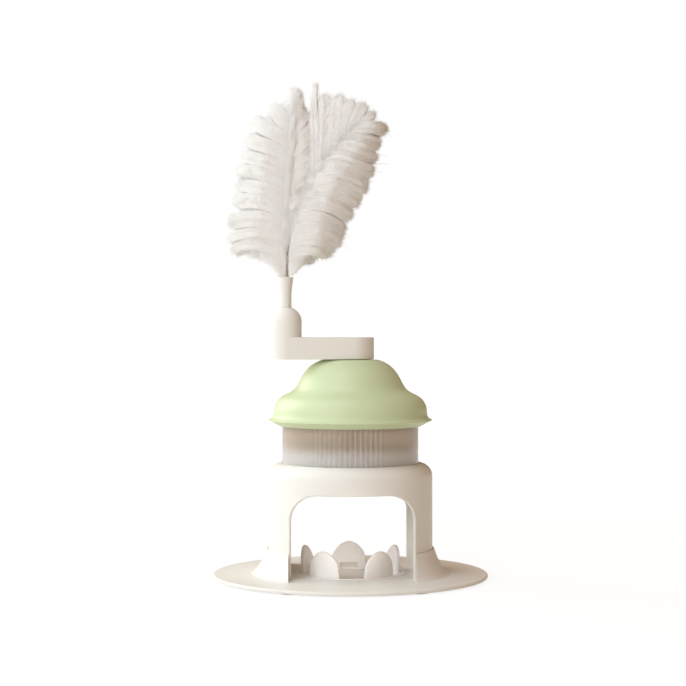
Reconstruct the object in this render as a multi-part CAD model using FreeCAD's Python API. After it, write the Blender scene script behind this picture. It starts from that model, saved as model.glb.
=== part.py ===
import FreeCAD, Part
import math
import os

from FreeCAD import Vector

# Cat treat dispenser toy, in millimetres.
# A white arched stand rises from a thin round base and carries a smoked clear
# treat hopper under a pale green domed lid. A crank arm on the lid turns a
# pocket wheel at the bottom of the hopper, which drops treats through a chute
# into a small tray ringed by petals. The crank's post carries a feather plume.
# Origin: centre of the base on the ground. +Z is up, and the front is -Y.

# Base
base_radius = 90.0
base_low = 1.0
base_top = 3.5
base_edge_round = 1.15
well_radius = 34.5
pad_radius = 7.0
pad_circle = 78.0
pad_count = 6
pad_sunk = 0.3

# Collar of the base round the feet of the stand
collar_inner = 54.0
collar_lip = (54.8, 20.0)
collar_flare = [(55.9, 17.2), (57.4, 13.2), (59.4, 9.6), (61.6, 6.3)]
collar_foot = (65.2, 3.5)
collar_half_gap = 40.8

# Stand
stand_radius = 53.8
stand_wall = 3.0
stand_top = 75.6
shoulder_radius = 8.4
shoulder_inner = 4.8
ring_thickness = 3.2
ring_hole = 44.8
arch_half_width = 39.0
arch_top = 58.0
arch_corner = 17.0
arch_edge_round = 1.0
foot_screw_circle = 48.3
foot_screw_angles = (-20.0, 20.0, 160.0, 200.0)
foot_boss_radius = 3.2
foot_boss_top = 18.0
deck_screw_circle = 47.2
deck_screw_angles = (45.0, 135.0, 225.0, 315.0)
deck_boss_radius = 2.4
deck_boss_top = 73.4

# Screws
screw_radius = 1.25
screw_head_radius = 2.9
screw_head_height = 1.2
small_screw_radius = 0.9
small_head_radius = 1.8
small_head_height = 1.0
gap = 0.05

# Petal tray
tray_radius = 34.3
tray_rim_wall = 1.4
tray_low = 0.6
tray_floor = 1.4
tray_lip_radius = 36.4
tray_lip_height = 0.4
petal_circle = 31.4
petal_thickness = 2.2
petal_edge_round = 0.8
petal_half_width = 12.0
petal_shoulder = 9.0
petal_top = 20.4
petal_waist = 11.1
petal_point = 0.68
petal_count = 5
window_half_width = 6.3
window_top = 6.2
ramp_low = 2.0
ramp_end = 46.0

# Deck under the hopper
deck_radius = 49.9
deck_low = 67.0
deck_top = 70.0
pivot_radius = 6.0
port_circle = 21.0
port_radius = 8.8
chute_wall = 1.8
chute_low = 59.5
deck_rib_angles = (30.0, 150.0, 210.0, 270.0, 330.0)
deck_rib_low = 63.5
deck_rib_width = 1.6

# Hopper
hopper_radius = 44.6
hopper_wall = 2.0
hopper_top = 101.0
hopper_flange_radius = 46.6
hopper_flange_top = 72.2
shelf_low = 86.7
shelf_top = 88.2
shelf_inner = 12.5
shelf_half_angle = 28.0
rib_count = 14
rib_pitch = 4.3
rib_middle = 266.0
rib_radius = 0.8
rib_proud = 0.55
rib_low = 76.0
rib_high = 99.4

# Pocket wheel
wheel_radius = 42.2
wheel_low = 70.2
wheel_top = 86.0
wheel_hub_radius = 8.0
wheel_hub_top = 89.5
wheel_rim = 2.5
wheel_skin = 2.5
pocket_count = 4
spigot_low = 66.6
hex_socket_low = 72.0

# Lid: outer outline from the rim to the flat top, as (radius, height)
lid_rim_tip = (53.4, 104.2)
lid_rim_round = (53.5, 103.7)
lid_skirt = (46.2, 99.8)
lid_outline = [
    (51.0, 105.8), (50.2, 110.6), (48.8, 114.9), (46.0, 118.4), (41.6, 120.9),
    (37.0, 123.8), (34.1, 128.1), (31.6, 132.8), (28.0, 137.6), (23.2, 141.2),
    (18.0, 143.2),
]
lid_wall = 2.3
lid_top = 143.2
lid_seat = 101.2
lid_skirt_inner = 44.9
lid_spigot_radius = 42.3
lid_spigot_wall = 1.5
lid_spigot_low = 97.4
seal_low = 98.1
seal_high = 99.9
seal_depth = 0.9
seal_proud = 0.1
lid_boss_radius = 9.0
lid_boss_low = 133.4

# Crank shaft and its bearing in the lid
shaft_radius = 4.0
hex_across = 6.9
shaft_low = 72.3
hex_top = 90.5
upper_hex_low = 145.4
shaft_top = 152.0
bush_radius = 6.5
bush_low = 133.0
bush_top = 143.3
bush_flange_radius = 8.5
bush_flange_low = 142.1
washer_radius = 8.5
washer_low = 143.35
clip_radius = 6.6
clip_low = 131.4
clip_high = 132.6
clip_groove = 3.3
clip_mouth = 2.6

# Crank arm, modelled along +X and turned to its rest angle
arm_angle = 194.0
arm_length = 44.0
arm_low = 143.6
arm_top = 158.0
hub_radius = 15.5
post_radius = 10.65
post_shoulder = 168.0
post_dome = 10.0
arm_wall = 2.0
arm_edge_round = 0.9
cover_thickness = 1.8
hub_column = 8.5
post_column = 9.2
web_top = 153.6
cap_radius = 6.5
cap_low = 156.2
hub_screw_head = 3.4
hub_screw_head_top = 155.8
hub_screw_low = 140.0
cover_screw_places = (16.5, 27.0)
cover_boss_radius = 2.8
cover_screw_depth = 6.0

# Swivel sleeve in the post
sleeve_radius = 5.65
sleeve_top = 171.8
sleeve_flange_radius = 7.2
sleeve_flange_low = 145.5
sleeve_flange_top = 147.1
sleeve_floor = 148.4
peg_radius = 4.0
post_mouth = 4.3

# Feather stem and plumes
stem_low = 148.6
stem_taper_low = 186.0
stem_top = 197.0
stem_top_radius = 5.3
stem_bore = 3.0
stem_bore_low = 165.0
stem_mouth = 4.2
quill_radius = 1.1
quill_offset = 1.25
quill_low = 166.0
quill_bend = 200.0
left_quill_tip = (6.0, 308.0)
right_quill_tip = (50.0, 298.0)
binding_radius = 2.9
binding_low = 190.0
binding_high = 197.6

# Plume sections as (height, left edge, right edge, half depth), from the post's axis
left_plume = [
    (198.2, -4.6, 2.4, 3.0), (204.0, -12.0, 3.5, 5.0), (212.0, -33.0, 7.0, 8.0),
    (228.0, -37.0, 10.0, 9.5), (252.0, -33.0, 13.0, 10.0), (280.0, -28.0, 15.0, 9.5),
    (301.0, -20.0, 15.0, 8.0), (311.0, -8.0, 13.0, 5.5), (319.5, 2.0, 10.0, 2.8),
]
right_plume = [
    (198.2, -2.0, 5.0, 3.0), (204.0, -1.0, 13.0, 5.0), (212.0, 0.0, 35.0, 8.0),
    (228.0, 3.0, 40.0, 9.5), (250.0, 6.0, 53.0, 10.0), (272.0, 10.0, 65.0, 10.0),
    (296.0, 14.0, 67.0, 9.0), (307.0, 16.0, 57.0, 7.5), (316.0, 17.0, 39.0, 5.0),
    (323.5, 17.5, 24.0, 2.4),
]
plume_depth_shift = 4.0


def ring_point(radius, angle):
    turn = math.radians(angle)
    return radius * math.cos(turn), radius * math.sin(turn)


def post_axis():
    return ring_point(arm_length, arm_angle)


def cylinder(radius, low, high, x=0.0, y=0.0):
    return Part.makeCylinder(radius, high - low, Vector(x, y, low))


def tube(outer, inner, low, high, x=0.0, y=0.0):
    return cylinder(outer, low, high, x, y).cut(cylinder(inner, low, high, x, y))


def line(start, end):
    return Part.makeLine(Vector(start[0], 0, start[1]), Vector(end[0], 0, end[1]))


def lines(points):
    return [line(a, b) for a, b in zip(points, points[1:])]


def arc(start, middle, end):
    points = [Vector(p[0], 0, p[1]) for p in (start, middle, end)]
    return Part.Arc(*points).toShape()


def curve(points):
    spline = Part.BSplineCurve()
    spline.interpolate([Vector(p[0], 0, p[1]) for p in points])
    return spline.toShape()


# A closed outline of (radius, height) edges, turned once about Z
def turned(edges):
    face = Part.Face(Part.Wire(edges))
    return face.revolve(Vector(0, 0, 0), Vector(0, 0, 1), 360)


# A hexagonal bar along Z, with its size given across the flats
def hex_bar(across, low, high):
    corner = across / math.sqrt(3)
    points = []
    for i in range(7):
        x, y = ring_point(corner, 60 * i)
        points.append(Vector(x, y, low))
    return Part.Face(Part.makePolygon(points)).extrude(Vector(0, 0, high - low))


# A screw pointing up, with its head underneath
def screw_up(x, y, low, top, radius, head_radius, head_height):
    head = cylinder(head_radius, low, low + head_height, x, y)
    slot = Part.makeBox(2 * head_radius, radius, head_height / 2)
    slot.translate(Vector(x - head_radius, y - radius / 2, low))
    return head.cut(slot).fuse(cylinder(radius, low + head_height, top, x, y))


# A box open to both ends of Y, used to cut straight gaps
def gap_along_y(half_width, low, high):
    return Part.makeBox(2 * half_width, 4 * base_radius, high - low,
                        Vector(-half_width, -2 * base_radius, low))


def base_plate():
    plate = cylinder(base_radius, base_low, base_top)
    rims = [e for e in plate.Edges if isinstance(e.Curve, Part.Circle)]
    plate = plate.makeFillet(base_edge_round, rims)
    bevel = 0.6
    lip_x, lip_z = collar_lip
    inside = [(collar_foot[0], base_top - bevel), (collar_inner, base_top - bevel),
              (collar_inner, lip_z - bevel), (collar_inner + bevel, lip_z), collar_lip]
    edges = lines(inside)
    edges.append(curve([collar_lip] + collar_flare + [collar_foot]))
    edges.append(line(collar_foot, (collar_foot[0], base_top - bevel)))
    collar = turned(edges)
    collar = collar.cut(gap_along_y(collar_half_gap, base_top, lip_z + 1))
    plate = plate.fuse(collar)
    plate = plate.cut(cylinder(well_radius, 0, base_top + 1))
    plate = plate.cut(crumb_ramp())
    for angle in foot_screw_angles:
        x, y = ring_point(foot_screw_circle, angle)
        plate = plate.cut(cylinder(screw_head_radius + 0.2, 0, base_low + screw_head_height + 0.1, x, y))
        plate = plate.cut(cylinder(screw_radius + 0.3, 0, base_top + 1, x, y))
    for i in range(pad_count):
        x, y = ring_point(pad_circle, 360 / pad_count * i)
        plate = plate.cut(cylinder(pad_radius + gap, 0, base_low + pad_sunk, x, y))
    return plate


# The wedge cut from the base behind the rear petal's window, to sweep crumbs out of the tray
def crumb_ramp():
    inner = well_radius - 2
    outline = [(inner, ramp_low), (well_radius, ramp_low), (ramp_end, base_top), (ramp_end, base_top + 1),
               (inner, base_top + 1), (inner, ramp_low)]
    corners = [Vector(-window_half_width, y, z) for y, z in outline]
    return Part.Face(Part.makePolygon(corners)).extrude(Vector(2 * window_half_width, 0, 0))


def grip_pads():
    pads = []
    for i in range(pad_count):
        x, y = ring_point(pad_circle, 360 / pad_count * i)
        pads.append(cylinder(pad_radius, 0, base_low + pad_sunk, x, y))
    return Part.makeCompound(pads)


# The upright outline of one petal, drawn across X and extruded along Y
def petal_outline(length):
    side = petal_half_width
    waist = petal_waist
    height = petal_top - petal_shoulder
    across, up = waist * petal_point, petal_shoulder + height * petal_point
    crown = [(waist, petal_shoulder), (across, up), (0, petal_top), (-across, up), (-waist, petal_shoulder)]
    edges = lines([(-waist, petal_shoulder), (-side, tray_low), (side, tray_low), (waist, petal_shoulder)])
    face = Part.Face(Part.Wire(edges + [curve(crown)]))
    return face.extrude(Vector(0, length, 0))


def petal(angle):
    inner = petal_circle - petal_thickness / 2
    outer = petal_circle + petal_thickness / 2
    shell = tube(outer, inner, tray_low, petal_top + 1)
    leaf = shell.common(petal_outline(outer + 1))
    leaf = leaf.makeFillet(petal_edge_round, [e for e in leaf.Edges if e.BoundBox.ZLength > petal_thickness])
    leaf.rotate(Vector(0, 0, 0), Vector(0, 0, 1), angle - 90)
    return leaf


def petal_tray():
    tray = cylinder(tray_radius, tray_low, base_top)
    tray = tray.fuse(cylinder(tray_lip_radius, base_top, base_top + tray_lip_height))
    tray = tray.cut(cylinder(tray_radius - tray_rim_wall, tray_floor, petal_top))
    for i in range(petal_count):
        tray = tray.fuse(petal(90 + 360 / petal_count * i))
    window = Part.makeBox(2 * window_half_width, tray_lip_radius, window_top - tray_floor,
                          Vector(-window_half_width, petal_circle - petal_thickness, tray_floor))
    return tray.cut(window)


def arch_prism():
    half = arch_half_width
    spring = arch_top - arch_corner
    inset = half - arch_corner
    diagonal = arch_corner * math.sqrt(0.5)
    edges = lines([(-inset, arch_top), (inset, arch_top)])
    edges.append(arc((inset, arch_top), (inset + diagonal, spring + diagonal), (half, spring)))
    edges += lines([(half, spring), (half, 0), (-half, 0), (-half, spring)])
    edges.append(arc((-half, spring), (-inset - diagonal, spring + diagonal), (-inset, arch_top)))
    face = Part.Face(Part.Wire(edges))
    face.translate(Vector(0, -2 * stand_radius, 0))
    return face.extrude(Vector(0, 4 * stand_radius, 0))


# Rounds the edges that the arch cut has left on the stand
def soften_arch(shell, prism):
    rounded = []
    for edge in shell.Edges:
        middle = edge.valueAt((edge.FirstParameter + edge.LastParameter) / 2)
        if middle.z > base_top + 1 and prism.isInside(middle, gap, True):
            rounded.append(edge)
    return shell.makeFillet(arch_edge_round, rounded)


def stand():
    outer_centre = (stand_radius - shoulder_radius, stand_top - shoulder_radius)
    ring_low = stand_top - ring_thickness
    inner = stand_radius - stand_wall
    inner_centre = (inner - shoulder_inner, ring_low - shoulder_inner)
    bend = math.sqrt(0.5)
    outer_mid = tuple(c + shoulder_radius * bend for c in outer_centre)
    inner_mid = tuple(c + shoulder_inner * bend for c in inner_centre)
    edges = lines([(stand_radius, base_top), (stand_radius, outer_centre[1])])
    edges.append(arc((stand_radius, outer_centre[1]), outer_mid, (outer_centre[0], stand_top)))
    edges += lines([(outer_centre[0], stand_top), (ring_hole, stand_top), (ring_hole, ring_low),
                    (inner_centre[0], ring_low)])
    edges.append(arc((inner_centre[0], ring_low), inner_mid, (inner, inner_centre[1])))
    edges += lines([(inner, inner_centre[1]), (inner, base_top), (stand_radius, base_top)])
    prism = arch_prism()
    shell = soften_arch(turned(edges).cut(prism), prism)
    for angle in foot_screw_angles:
        x, y = ring_point(foot_screw_circle, angle)
        shell = shell.fuse(cylinder(foot_boss_radius, base_top, foot_boss_top, x, y))
        shell = shell.cut(cylinder(screw_radius + gap, base_top, foot_boss_top - 2, x, y))
    for angle in deck_screw_angles:
        x, y = ring_point(deck_screw_circle, angle)
        shell = shell.fuse(cylinder(deck_boss_radius, deck_top, deck_boss_top, x, y))
        shell = shell.cut(cylinder(small_screw_radius + gap, deck_top, deck_boss_top, x, y))
    return shell


def stand_screws():
    screws = []
    for angle in foot_screw_angles:
        x, y = ring_point(foot_screw_circle, angle)
        screws.append(screw_up(x, y, base_low + 0.1, foot_boss_top - 4,
                               screw_radius, screw_head_radius, screw_head_height))
    return Part.makeCompound(screws)


def outlet_deck():
    deck = cylinder(deck_radius, deck_low, deck_top)
    for angle in deck_rib_angles:
        rib = Part.makeBox(deck_radius - 4 - pivot_radius, deck_rib_width, deck_low - deck_rib_low,
                           Vector(pivot_radius, -deck_rib_width / 2, deck_rib_low))
        rib.rotate(Vector(0, 0, 0), Vector(0, 0, 1), angle)
        deck = deck.fuse(rib)
    deck = deck.fuse(cylinder(pivot_radius + 2, deck_rib_low, deck_low))
    deck = deck.fuse(cylinder(port_radius + chute_wall, chute_low, deck_low, 0, port_circle))
    deck = deck.cut(cylinder(port_radius, 0, deck_top + 1, 0, port_circle))
    deck = deck.cut(cylinder(pivot_radius, deck_rib_low + 1.5, deck_top))
    for angle in deck_screw_angles:
        x, y = ring_point(deck_screw_circle, angle)
        deck = deck.cut(cylinder(small_screw_radius + 0.2, deck_low, deck_top, x, y))
    return deck


def deck_screws():
    screws = []
    for angle in deck_screw_angles:
        x, y = ring_point(deck_screw_circle, angle)
        screws.append(screw_up(x, y, deck_low - small_head_height, deck_boss_top - 0.3,
                               small_screw_radius, small_head_radius, small_head_height))
    return Part.makeCompound(screws)


# A flat sector of a ring, centred on the rear at 90 degrees
def rear_sector(inner, outer, half_angle, low, high):
    far = 2 * outer
    left_x, left_y = ring_point(far, 90 + half_angle)
    right_x, right_y = ring_point(far, 90 - half_angle)
    corners = [Vector(0, 0, low), Vector(right_x, right_y, low), Vector(left_x, left_y, low), Vector(0, 0, low)]
    wedge = Part.Face(Part.makePolygon(corners)).extrude(Vector(0, 0, high - low))
    return tube(outer, inner, low, high).common(wedge)


def hopper():
    inner = hopper_radius - hopper_wall
    cup = cylinder(hopper_radius, deck_top + gap, hopper_top)
    cup = cup.fuse(cylinder(hopper_flange_radius, deck_top + gap, hopper_flange_top))
    for i in range(rib_count):
        place = (i - (rib_count - 1) / 2) * rib_pitch
        fade = 1 - (2 * place / (rib_pitch * (rib_count + 2))) ** 2
        x, y = ring_point(hopper_radius - rib_radius + rib_proud * fade, rib_middle + place)
        cup = cup.fuse(cylinder(rib_radius, rib_low, rib_high, x, y))
    cup = cup.cut(cylinder(inner, 0, hopper_top + 1))
    for angle in deck_screw_angles:
        x, y = ring_point(deck_screw_circle, angle)
        cup = cup.cut(cylinder(deck_boss_radius + 0.2, deck_top, hopper_flange_top, x, y))
    shelf = rear_sector(shelf_inner, inner + hopper_wall / 2, shelf_half_angle, shelf_low, shelf_top)
    return cup.fuse(shelf)


def metering_wheel():
    wheel = cylinder(wheel_radius, wheel_low, wheel_top)
    wheel = wheel.cut(tube(wheel_radius - wheel_rim, port_circle + port_radius + 2,
                           wheel_low, wheel_top - wheel_skin))
    wheel = wheel.fuse(cylinder(wheel_hub_radius, wheel_top, wheel_hub_top))
    wheel = wheel.fuse(cylinder(pivot_radius - gap, spigot_low, wheel_low))
    for i in range(pocket_count):
        x, y = ring_point(port_circle, 90 + 360 / pocket_count * i)
        wheel = wheel.cut(cylinder(port_radius, wheel_low, wheel_top, x, y))
    return wheel.cut(turn_to_rest(hex_bar(hex_across + 2 * gap, hex_socket_low, wheel_hub_top)))


# Points set inside an outline by the wall thickness, square to it
def inset_points(points, wall):
    inside = []
    for i in range(1, len(points) - 1):
        before, after = points[i - 1], points[i + 1]
        run, rise = after[0] - before[0], after[1] - before[1]
        length = math.hypot(run, rise)
        inside.append((points[i][0] - rise / length * wall, points[i][1] + run / length * wall))
    return inside


def lid():
    inner = inset_points([lid_rim_tip] + lid_outline, lid_wall)
    spigot_in = lid_spigot_radius - lid_spigot_wall
    edges = [curve([lid_rim_tip] + lid_outline)]
    edges.append(line(lid_outline[-1], (0, lid_top)))
    edges.append(line((0, lid_top), (0, lid_top - lid_wall)))
    edges.append(line((0, lid_top - lid_wall), (inner[-1][0], lid_top - lid_wall)))
    inner[-1] = (inner[-1][0], lid_top - lid_wall)
    edges.append(curve(inner[::-1]))
    edges += lines([inner[0], (spigot_in, lid_seat + 2), (spigot_in, lid_spigot_low),
                    (lid_spigot_radius, lid_spigot_low), (lid_spigot_radius, lid_seat),
                    (lid_skirt_inner, lid_seat), (lid_skirt_inner, lid_skirt[1]), lid_skirt,
                    lid_rim_round, lid_rim_tip])
    dome = turned(edges)
    dome = dome.fuse(cylinder(lid_boss_radius, lid_boss_low, lid_top - 0.5))
    dome = dome.cut(cylinder(bush_radius, lid_boss_low, lid_top + 1))
    dome = dome.cut(cylinder(bush_flange_radius, bush_flange_low, lid_top + 1))
    return dome.cut(tube(lid_spigot_radius + 1, lid_spigot_radius - seal_depth, seal_low, seal_high))


def lid_seal():
    return tube(lid_spigot_radius + seal_proud, lid_spigot_radius - seal_depth, seal_low, seal_high)


def shaft_bush():
    bush = cylinder(bush_radius, bush_low, bush_top)
    bush = bush.fuse(cylinder(bush_flange_radius, bush_flange_low, bush_top))
    return bush.cut(cylinder(shaft_radius + gap, bush_low, bush_top))


def crank_shaft():
    shaft = cylinder(shaft_radius, hex_top, upper_hex_low)
    shaft = shaft.fuse(hex_bar(hex_across, shaft_low, hex_top))
    shaft = shaft.fuse(hex_bar(hex_across, upper_hex_low, shaft_top))
    shaft = shaft.cut(tube(shaft_radius + 1, clip_groove, clip_low, clip_high))
    return shaft.cut(cylinder(screw_radius + gap, hub_screw_low - 1, shaft_top))


def shaft_clip():
    clip = tube(clip_radius, clip_groove, clip_low, clip_high)
    mouth = Part.makeBox(clip_radius + 1, 2 * clip_mouth, clip_high - clip_low,
                         Vector(0, -clip_mouth, clip_low))
    return clip.cut(mouth)


def thrust_washer():
    return tube(washer_radius, shaft_radius + 0.15, washer_low, arm_low)


# The arm's plan: two circles joined by their outer tangents
def arm_bar(hub, knob, low, high):
    lean = math.asin((hub - knob) / arm_length)
    points = []
    for centre, radius, side in ((0, hub, 1), (arm_length, knob, 1), (arm_length, knob, -1), (0, hub, -1)):
        points.append(Vector(centre + radius * math.sin(lean), side * radius * math.cos(lean), low))
    points.append(points[0])
    bar = Part.Face(Part.makePolygon(points)).extrude(Vector(0, 0, high - low))
    bar = bar.fuse([cylinder(hub, low, high), cylinder(knob, low, high, arm_length)])
    return bar.removeSplitter()


def turn_to_rest(shape):
    shape.rotate(Vector(0, 0, 0), Vector(0, 0, 1), arm_angle)
    return shape


def move_to_post(shape):
    x, y = post_axis()
    shape.translate(Vector(x, y, 0))
    return shape


# The upright post at the end of the arm, round with a domed top
def post():
    centre = Vector(0, 0, post_shoulder)
    ellipse = Part.Ellipse(Vector(post_radius, 0, post_shoulder),
                           Vector(0, 0, post_shoulder + post_dome), centre)
    dome = Part.ArcOfEllipse(ellipse, 0, math.pi / 2).toShape()
    tip = post_shoulder + post_dome
    edges = lines([(0, tip), (0, arm_low), (post_radius, arm_low), (post_radius, post_shoulder)])
    solid = turned([dome] + edges)
    solid.translate(Vector(arm_length, 0, 0))
    return solid


def crank_arm():
    inside = arm_low + cover_thickness
    arm = arm_bar(hub_radius, post_radius, arm_low, arm_top)
    rims = [e for e in arm.Edges if abs(e.BoundBox.ZLength) < gap]
    arm = arm.makeFillet(arm_edge_round, rims).fuse(post())
    arm = arm.cut(arm_bar(hub_radius - arm_wall, post_radius - arm_wall, arm_low, inside))
    cavity = arm_bar(hub_radius - arm_wall, post_radius - arm_wall, inside, arm_top - arm_wall)
    columns = [cylinder(hub_column, inside, arm_top), cylinder(post_column, inside, arm_top, arm_length)]
    columns += [cylinder(cover_boss_radius, inside, arm_top, x) for x in cover_screw_places]
    arm = arm.cut(cavity.cut(columns))
    arm = arm.cut(hex_bar(hex_across + 2 * gap, inside, shaft_top))
    arm = arm.cut(cylinder(screw_radius + 0.3, shaft_top, web_top))
    arm = arm.cut(cylinder(cap_radius + gap, web_top, arm_top + 1))
    for x in cover_screw_places:
        arm = arm.cut(cylinder(small_screw_radius + gap, inside, inside + cover_screw_depth, x))
    arm = arm.cut(cylinder(sleeve_flange_radius + 0.1, inside, sleeve_flange_top + gap, arm_length))
    arm = arm.cut(cylinder(sleeve_radius + gap, inside, sleeve_top + gap, arm_length))
    arm = arm.cut(cylinder(post_mouth, inside, post_shoulder + 2 * post_dome, arm_length))
    return turn_to_rest(arm)


def arm_cover():
    fit = arm_wall + 0.1
    cover = arm_bar(hub_radius - fit, post_radius - fit, arm_low, arm_low + cover_thickness)
    cover = cover.cut(cylinder(shaft_radius + 0.2, arm_low, arm_low + cover_thickness))
    for x in cover_screw_places:
        cover = cover.cut(cylinder(small_screw_radius + 0.2, arm_low, arm_low + cover_thickness, x))
        cover = cover.cut(cylinder(small_head_radius + 0.1, arm_low, arm_low + small_head_height + gap, x))
    return turn_to_rest(cover)


def cover_screws():
    screws = []
    for place in cover_screw_places:
        screws.append(screw_up(place, 0, arm_low + gap, arm_low + cover_thickness + cover_screw_depth - 0.5,
                               small_screw_radius, small_head_radius, small_head_height))
    return turn_to_rest(Part.makeCompound(screws))


def hub_screw():
    head = cylinder(hub_screw_head, web_top, hub_screw_head_top)
    head = head.cut(Part.makeBox(2 * hub_screw_head, screw_radius, screw_head_height,
                                 Vector(-hub_screw_head, -screw_radius / 2,
                                        hub_screw_head_top - screw_head_height)))
    return turn_to_rest(head.fuse(cylinder(screw_radius, hub_screw_low, web_top)))


def hub_cap():
    return cylinder(cap_radius, cap_low, arm_top)


def swivel_sleeve():
    sleeve = cylinder(sleeve_radius, sleeve_flange_low, sleeve_top)
    sleeve = sleeve.fuse(cylinder(sleeve_flange_radius, sleeve_flange_low, sleeve_flange_top))
    return move_to_post(sleeve.cut(cylinder(peg_radius + gap, sleeve_floor, sleeve_top)))


def feather_stem():
    outside = [(0, stem_low), (peg_radius, stem_low), (peg_radius, stem_taper_low)]
    inside = [(stem_mouth, stem_top), (stem_bore, stem_taper_low), (stem_bore, stem_bore_low),
              (0, stem_bore_low), (0, stem_low)]
    flare = (0.45 * peg_radius + 0.55 * stem_top_radius, 0.4 * stem_taper_low + 0.6 * stem_top)
    edges = lines(outside)
    edges.append(arc((peg_radius, stem_taper_low), flare, (stem_top_radius, stem_top)))
    edges += lines([(stem_top_radius, stem_top)] + inside)
    return move_to_post(turned(edges))


# A quill: straight in the stem, then one arc that leaves the straight part smoothly
def quill(start, tip):
    side = 1 if tip[0] > start else -1
    reach, rise = abs(tip[0] - start), tip[1] - quill_bend
    bend_radius = (reach ** 2 + rise ** 2) / (2 * reach)
    angle = math.degrees(math.asin(rise / bend_radius))
    straight = cylinder(quill_radius, quill_low, quill_bend, start)
    section = Part.Face(Part.Wire(Part.makeCircle(quill_radius, Vector(start, 0, quill_bend))))
    pivot = Vector(start + side * bend_radius, 0, quill_bend)
    curved = section.revolve(pivot, Vector(0, side, 0), angle)
    return move_to_post(straight.fuse(curved))


def quill_left():
    return quill(-quill_offset, left_quill_tip)


def quill_right():
    return quill(quill_offset, right_quill_tip)


def quill_binding():
    ring = cylinder(binding_radius, binding_low, binding_high)
    for side in (-1, 1):
        ring = ring.cut(cylinder(quill_radius + 0.1, binding_low, binding_high, side * quill_offset))
    return move_to_post(ring)


# A plume's outer shape: flat ovals stacked one above the other
def plume(sections, shift):
    rings = []
    for height, left, right, depth in sections:
        oval = Part.Ellipse(Vector((left + right) / 2, shift, height), (right - left) / 2, depth)
        rings.append(Part.Wire(oval.toShape()))
    return move_to_post(Part.makeLoft(rings, True, False))


def plumes():
    quills = [quill_left(), quill_right()]
    left = plume(left_plume, -plume_depth_shift)
    right = plume(right_plume, plume_depth_shift)
    return left.cut(quills), right.cut([left] + quills)


def main():
    os.makedirs("parts", exist_ok=True)
    plume_left, plume_right = plumes()
    nodes = {
        "base_plate": base_plate(), "grip_pads": grip_pads(), "petal_tray": petal_tray(),
        "stand": stand(), "stand_screws": stand_screws(), "outlet_deck": outlet_deck(),
        "deck_screws": deck_screws(), "hopper": hopper(), "metering_wheel": metering_wheel(),
        "lid": lid(), "lid_seal": lid_seal(), "shaft_bush": shaft_bush(),
        "crank_shaft": turn_to_rest(crank_shaft()), "shaft_clip": turn_to_rest(shaft_clip()),
        "thrust_washer": thrust_washer(), "crank_arm": crank_arm(), "arm_cover": arm_cover(),
        "cover_screws": cover_screws(), "hub_screw": hub_screw(), "hub_cap": hub_cap(),
        "swivel_sleeve": swivel_sleeve(), "feather_stem": feather_stem(),
        "quill_left": quill_left(), "quill_right": quill_right(), "quill_binding": quill_binding(),
        "plume_left": plume_left, "plume_right": plume_right,
    }
    for name, shape in nodes.items():
        print(name, shape.isValid(), len(shape.Solids), round(shape.Volume, 1))
        shape.exportStep("parts/" + name + ".step")


main()
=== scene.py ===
import math

import bpy
import numpy as np
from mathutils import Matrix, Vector


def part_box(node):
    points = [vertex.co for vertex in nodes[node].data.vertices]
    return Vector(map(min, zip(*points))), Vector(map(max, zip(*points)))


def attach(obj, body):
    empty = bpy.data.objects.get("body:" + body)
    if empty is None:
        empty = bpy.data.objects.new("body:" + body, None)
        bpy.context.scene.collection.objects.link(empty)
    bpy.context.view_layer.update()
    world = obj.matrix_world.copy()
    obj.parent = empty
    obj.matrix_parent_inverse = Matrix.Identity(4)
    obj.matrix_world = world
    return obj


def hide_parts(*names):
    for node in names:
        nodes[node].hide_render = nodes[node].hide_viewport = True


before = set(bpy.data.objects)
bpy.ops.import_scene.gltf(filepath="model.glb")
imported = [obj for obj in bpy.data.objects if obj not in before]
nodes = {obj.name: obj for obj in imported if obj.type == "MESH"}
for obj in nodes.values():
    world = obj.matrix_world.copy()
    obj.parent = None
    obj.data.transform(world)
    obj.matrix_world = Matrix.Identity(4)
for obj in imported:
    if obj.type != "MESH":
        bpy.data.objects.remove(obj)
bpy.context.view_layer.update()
scene = bpy.context.scene
mm = 0.001
micrometre = 0.000001
print("stage: frame loaded,", len(nodes), "CAD nodes")


# camera

cameraSet = {
    "focalMm": 93.4,        # 1780 px on the 686 px frame
    "sensorMm": 36.0,
    "distance": 1.168,
    "height": 0.164,
    "yawDeg": 2.0,          # the object is seen turned by this much
    "asideDeg": 0.238,      # the axis stands a little right of the middle
    "downDeg": 0.483,
}


def makeCamera(s):
    yaw = math.radians(s["yawDeg"])
    data = bpy.data.cameras.new("camera")
    data.lens, data.sensor_width = s["focalMm"], s["sensorMm"]
    camera = bpy.data.objects.new("camera", data)
    camera.location = (-s["distance"] * math.sin(yaw), -s["distance"] * math.cos(yaw), s["height"])
    camera.rotation_euler = (math.radians(90 - s["downDeg"]), 0, math.radians(s["asideDeg"] - s["yawDeg"]))
    scene.collection.objects.link(camera)
    scene.camera = camera


makeCamera(cameraSet)
scene.view_settings.view_transform = "Standard"
print("stage: camera")


# node helpers

def addNode(tree, kind, values=None, **settings):
    made = tree.nodes.new(kind)
    for key, value in settings.items():
        setattr(made, key, value)
    for key, value in (values or {}).items():
        made.inputs[key].default_value = value
    return made


def join(tree, source, target):
    tree.links.new(source, target)


def startGroup(name, inputs, outputs):
    tree = bpy.data.node_groups.new(name, "ShaderNodeTree")
    for label, kind, value in inputs:
        socket = tree.interface.new_socket(name=label, in_out="INPUT", socket_type="NodeSocket" + kind)
        socket.default_value = value
    for label, kind in outputs:
        tree.interface.new_socket(name=label, in_out="OUTPUT", socket_type="NodeSocket" + kind)
    return tree, addNode(tree, "NodeGroupInput"), addNode(tree, "NodeGroupOutput")


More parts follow.
